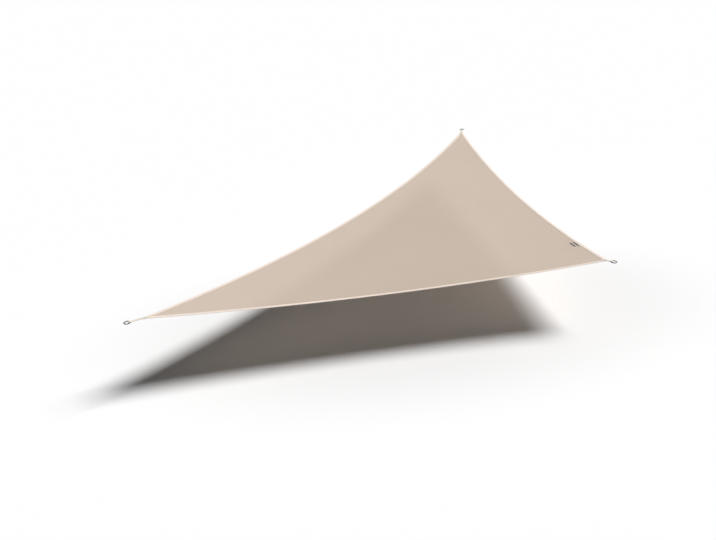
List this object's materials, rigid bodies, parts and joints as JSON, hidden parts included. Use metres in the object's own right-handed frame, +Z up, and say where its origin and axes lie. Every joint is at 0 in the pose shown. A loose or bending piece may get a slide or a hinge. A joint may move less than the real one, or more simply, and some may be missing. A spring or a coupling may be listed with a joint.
{
  "type": "triangular shade sail",
  "caption": "Triangular shade sail of knitted cloth, its sides bound with webbing, with a strap and a steel ring at each corner.",
  "frame": {"origin": "middle of the open window of the ring at the sail's square corner", "axes": "+Z up, square to the level of the three corners; the short sides run from the square corner along -X and along +Y"},
  "size_m": [4.1873, 4.1637, 0.1331],
  "materials": {
    "sail_cloth": "matt knitted cloth, warm beige",
    "edge_webbing": "pale woven webbing",
    "corner_webbing": "light beige woven webbing",
    "ring_steel": "dark satin steel wire",
    "label_cloth": "woven tape, plain dark stripes"
  },
  "bodies": {
    "root": {"sail_cloth": "sail_cloth", "binding_front": "edge_webbing", "binding_right": "edge_webbing", "binding_long": "edge_webbing", "strap_left": "corner_webbing", "strap_square": "corner_webbing", "strap_back": "corner_webbing", "ring_left": "ring_steel", "ring_square": "ring_steel", "ring_back": "ring_steel", "label": "label_cloth"}
  },
  "joints": []
}
